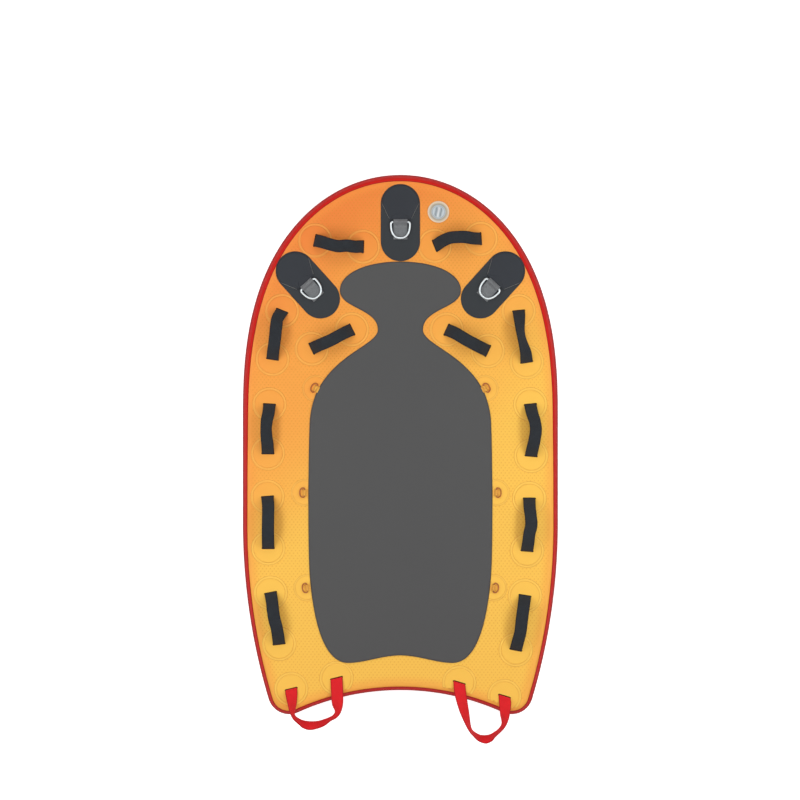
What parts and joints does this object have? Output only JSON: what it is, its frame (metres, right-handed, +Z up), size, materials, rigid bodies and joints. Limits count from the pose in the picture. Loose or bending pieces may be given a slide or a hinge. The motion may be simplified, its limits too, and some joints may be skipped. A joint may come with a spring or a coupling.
{
  "type": "lifeguard rescue board",
  "caption": "Flat inflatable rescue board with a tapered nose, red rail, foam pad, webbing grab handles, steel tow rings, tail loops and an inflation valve.",
  "frame": {"origin": "centre of the flat bottom, at mid-length of the stated outline", "axes": "+Y to the nose, +Z up out of the deck, +X to the right of the board seen from above"},
  "size_m": [1.052, 1.8902, 0.23],
  "materials": {
    "deckPvc": "orange-yellow coated PVC fabric with a fine raised dot grain, semi-gloss",
    "railPvc": "red reinforced PVC band, semi-gloss",
    "wallPvc": "orange coated PVC fabric, hidden behind the rail band",
    "baseFabric": "natural white woven polyester",
    "foam": "grey closed-cell foam, matt",
    "blackWebbing": "black woven webbing, matt",
    "rubber": "black rubber, matt",
    "greyWebbing": "grey woven webbing, matt",
    "steel": "polished stainless steel",
    "orangeNylon": "orange-brown nylon",
    "valvePlastic": "pale grey moulded plastic, glossy",
    "seal": "black rubber seal",
    "redWebbing": "red woven webbing, matt"
  },
  "bodies": {
    "board": {"deck_skin": "deckPvc", "bottom_skin": "deckPvc", "side_wall": "wallPvc", "rail_band": "railPvc", "upper_fabric": "baseFabric", "drop_stitch_fabric": "baseFabric", "deck_pad": "foam", "tow_centre_base": "rubber", "tow_centre_cover": "rubber", "tow_centre_tab": "greyWebbing", "tow_left_base": "rubber", "tow_left_cover": "rubber", "tow_left_tab": "greyWebbing", "tow_right_base": "rubber", "tow_right_cover": "rubber", "tow_right_tab": "greyWebbing", "valve_body": "valvePlastic", "valve_nut": "valvePlastic", "valve_gasket": "seal", "valve_spring": "steel", "handle_nose_left": "blackWebbing", "handle_nose_right": "blackWebbing", "handle_front_left": "blackWebbing", "handle_front_right": "blackWebbing", "handle_shoulder_left": "blackWebbing", "handle_shoulder_right": "blackWebbing", "handle_middle_left": "blackWebbing", "handle_middle_right": "blackWebbing", "handle_waist_left": "blackWebbing", "handle_waist_right": "blackWebbing", "handle_rear_left": "blackWebbing", "handle_rear_right": "blackWebbing", "lashing_tab_front_left": "orangeNylon", "lashing_tab_front_right": "orangeNylon", "lashing_tab_middle_left": "orangeNylon", "lashing_tab_middle_right": "orangeNylon", "lashing_tab_rear_left": "orangeNylon", "lashing_tab_rear_right": "orangeNylon"},
    "tow_centre_ring_body": {"tow_centre_ring": "steel"},
    "tow_left_ring_body": {"tow_left_ring": "steel"},
    "tow_right_ring_body": {"tow_right_ring": "steel"},
    "lashing_ring_front_left_body": {"lashing_ring_front_left": "orangeNylon"},
    "lashing_ring_front_right_body": {"lashing_ring_front_right": "orangeNylon"},
    "lashing_ring_middle_left_body": {"lashing_ring_middle_left": "orangeNylon"},
    "lashing_ring_middle_right_body": {"lashing_ring_middle_right": "orangeNylon"},
    "lashing_ring_rear_left_body": {"lashing_ring_rear_left": "orangeNylon"},
    "lashing_ring_rear_right_body": {"lashing_ring_rear_right": "orangeNylon"},
    "tail_loop_left_body": {"tail_loop_left": "redWebbing"},
    "tail_loop_right_body": {"tail_loop_right": "redWebbing"},
    "valve_poppet_body": {"valve_poppet": "valvePlastic"},
    "valve_cap_carrier": {"valve_cap_seal": "seal"},
    "valve_cap_body": {"valve_cap": "valvePlastic"}
  },
  "joints": [
    {"name": "tow_centre_ring_swing", "type": "hinge", "parent": "board", "child": "tow_centre_ring_body", "pos_m": [0, 0.7411, 0.19527], "axis": [-1, 0, 0], "range_deg": [0, 160]},
    {"name": "tow_left_ring_swing", "type": "hinge", "parent": "board", "child": "tow_left_ring_body", "pos_m": [-0.30843, 0.53523, 0.17383], "axis": [-0.7431, -0.6669, -0.0548], "range_deg": [0, 160]},
    {"name": "tow_right_ring_swing", "type": "hinge", "parent": "board", "child": "tow_right_ring_body", "pos_m": [0.30843, 0.53523, 0.17383], "axis": [-0.7431, 0.6669, 0.0548], "range_deg": [0, 160]},
    {"name": "lashing_ring_front_left_swing", "type": "hinge", "parent": "board", "child": "lashing_ring_front_left_body", "pos_m": [-0.28094, 0.1899, 0.15697], "axis": [0.4978, 0.8672, 0.0074], "range_deg": [0, 150]},
    {"name": "lashing_ring_front_right_swing", "type": "hinge", "parent": "board", "child": "lashing_ring_front_right_body", "pos_m": [0.28094, 0.1899, 0.15697], "axis": [0.4978, -0.8672, -0.0074], "range_deg": [0, 150]},
    {"name": "lashing_ring_middle_left_swing", "type": "hinge", "parent": "board", "child": "lashing_ring_middle_left_body", "pos_m": [-0.31841, -0.1557, 0.1568], "axis": [0.0158, 0.9999, 0], "range_deg": [0, 150]},
    {"name": "lashing_ring_middle_right_swing", "type": "hinge", "parent": "board", "child": "lashing_ring_middle_right_body", "pos_m": [0.31841, -0.1557, 0.1568], "axis": [0.0158, -0.9999, 0], "range_deg": [0, 150]},
    {"name": "lashing_ring_rear_left_swing", "type": "hinge", "parent": "board", "child": "lashing_ring_rear_left_body", "pos_m": [-0.30975, -0.4716, 0.1568], "axis": [-0.1017, 0.9948, 0], "range_deg": [0, 150]},
    {"name": "lashing_ring_rear_right_swing", "type": "hinge", "parent": "board", "child": "lashing_ring_rear_right_body", "pos_m": [0.30975, -0.4716, 0.1568], "axis": [-0.1017, -0.9948, 0], "range_deg": [0, 150]},
    {"name": "tail_loop_left_lift", "type": "hinge", "parent": "board", "child": "tail_loop_left_body", "pos_m": [-0.21219, -0.77198, 0.1549], "axis": [-0.9725, -0.2329, 0], "range_deg": [0, 130]},
    {"name": "tail_loop_right_lift", "type": "hinge", "parent": "board", "child": "tail_loop_right_body", "pos_m": [0.19551, -0.78693, 0.1549], "axis": [-0.9577, 0.2877, 0], "range_deg": [0, 130]},
    {"name": "valve_cap_lift", "type": "slide", "parent": "board", "child": "valve_cap_carrier", "axis": [0, -0.1321, 0.9912], "range_m": [0, 0.04]},
    {"name": "valve_cap_turn", "type": "hinge", "parent": "valve_cap_carrier", "child": "valve_cap_body", "pos_m": [0.12598, 0.7749, 0.19165], "axis": [0, -0.1321, 0.9912], "range_deg": [0, 90]},
    {"name": "valve_poppet_press", "type": "slide", "parent": "board", "child": "valve_poppet_body", "axis": [0, 0.1321, -0.9912], "range_m": [0, 0.004], "stiffness_N_per_m": 600, "springref_m": -0.002, "deforming": ["valve_spring"]}
  ]
}
